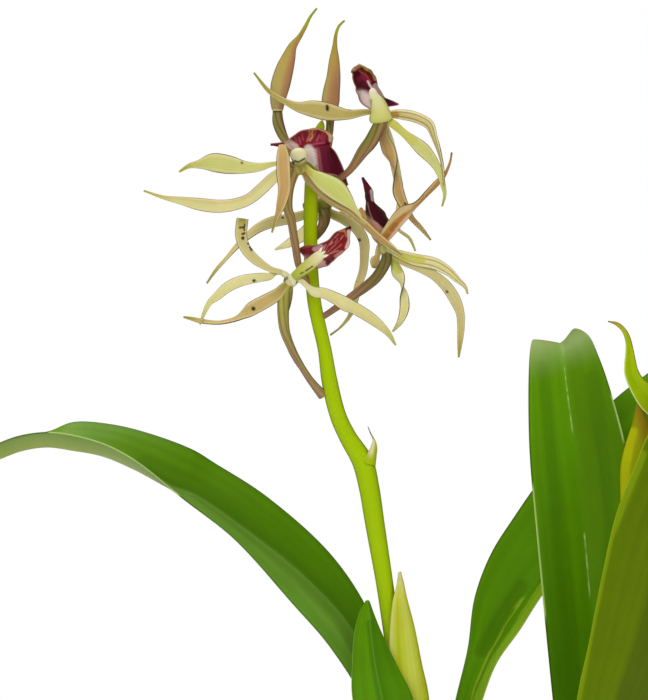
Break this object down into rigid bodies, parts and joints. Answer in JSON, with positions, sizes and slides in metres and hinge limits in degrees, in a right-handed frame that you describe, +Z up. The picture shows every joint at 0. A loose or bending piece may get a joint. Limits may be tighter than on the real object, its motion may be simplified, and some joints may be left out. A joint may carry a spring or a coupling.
{
  "type": "potted cockleshell orchid",
  "caption": "Potted orchid: strap leaves on ribbed bulbs in a plain tapered pot, and one upright spike of blooms with a dark shell-shaped lip held above narrow drooping tepals",
  "frame": {"origin": "centre of the pot's underside, on the surface that the pot stands on", "axes": "+Z up along the pot's axis, -Y towards the viewer of the flower spike, +X to that viewer's right"},
  "size_m": [0.3585, 0.1694, 0.4475],
  "materials": {
    "pot": "matt, plain terracotta brown",
    "bark": "rough, matt",
    "root": "matt, pale",
    "bulb": "waxy, ribbed",
    "leaf": "leathery, half glossy, fine lengthwise veins",
    "young_growth": "waxy, half glossy",
    "stem": "waxy, half glossy",
    "sheath": "thin, papery",
    "tepal": "soft, waxy, cream to pale green with tan tips and a few dark spots",
    "column": "waxy",
    "lip": "half glossy maroon with pink streaks and a cream margin",
    "stalk": "waxy, grooved, olive to pinkish brown",
    "bud": "waxy, olive with a brown flush"
  },
  "bodies": {
    "root": {"pot": "pot", "bark_mix": "bark", "rhizome_and_roots": "root", "pseudobulb_1": "bulb", "pseudobulb_2": "bulb", "pseudobulb_3": "bulb", "pseudobulb_4": "bulb", "leaf_1": "leaf", "leaf_2": "leaf", "leaf_3": "leaf", "leaf_4": "leaf", "leaf_5": "leaf", "young_sheath": "young_growth", "young_leaf": "young_growth", "flower_stem": "stem", "spathe": "sheath", "stem_bract": "sheath", "bloom_a_tepals": "tepal", "bloom_a_column": "column", "bloom_a_lip": "lip", "bloom_a_stalk": "stalk", "bloom_b_tepals": "tepal", "bloom_b_column": "column", "bloom_b_lip": "lip", "bloom_b_stalk": "stalk", "bloom_c_tepals": "tepal", "bloom_c_column": "column", "bloom_c_lip": "lip", "bloom_c_stalk": "stalk", "bloom_d_tepals": "tepal", "bloom_d_column": "column", "bloom_d_lip": "lip", "bloom_d_stalk": "stalk", "bloom_e_tepals": "tepal", "bloom_e_column": "column", "bloom_e_lip": "lip", "bloom_e_stalk": "stalk", "bud_1": "bud", "bud_1_stalk": "stalk", "bud_2": "bud", "bud_2_stalk": "stalk"}
  },
  "joints": []
}
